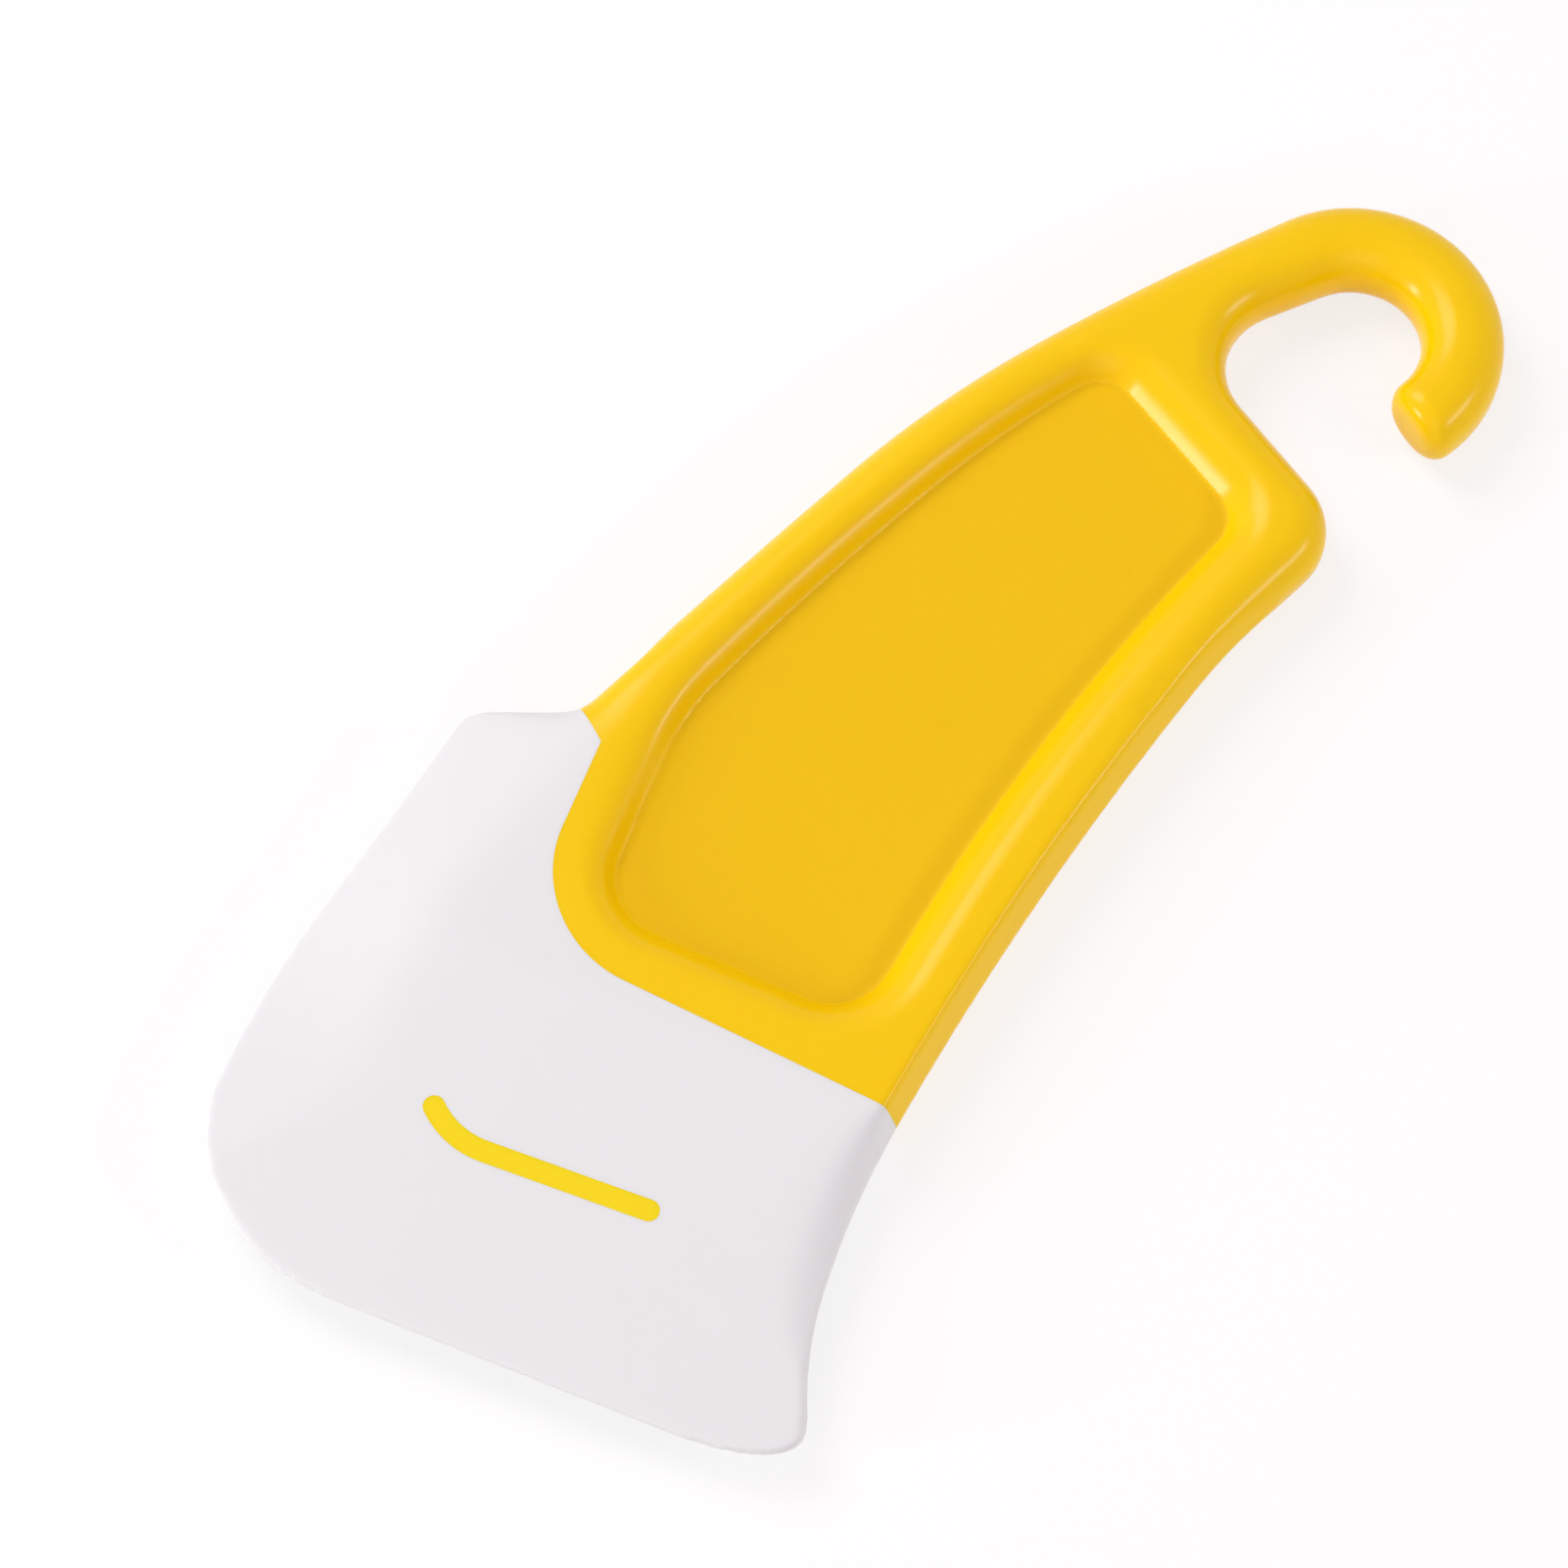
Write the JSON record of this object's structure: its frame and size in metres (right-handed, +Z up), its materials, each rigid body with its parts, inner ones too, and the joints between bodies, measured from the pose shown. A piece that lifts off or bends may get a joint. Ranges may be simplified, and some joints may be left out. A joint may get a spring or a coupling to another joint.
{
  "type": "bowl scraper",
  "caption": "Flat bowl scraper: a rigid curved grip with a recessed thumb panel and an open hanging hook, and a soft flared blade tapering to a thin lip.",
  "frame": {"origin": "middle of the part's box in plan, on the surface it lies on", "axes": "+X across the blade towards the side the hook opens to, +Y from the blade's lip to the hook, +Z up through the thickness"},
  "size_m": [0.1092, 0.1846, 0.0104],
  "materials": {
    "grip_plastic": "rigid moulded polypropylene, fine satin, yellow",
    "blade_silicone": "smooth opaque silicone rubber, off-white, soft sheen"
  },
  "bodies": {
    "root": {"handle": "grip_plastic", "blade": "blade_silicone"}
  },
  "joints": []
}
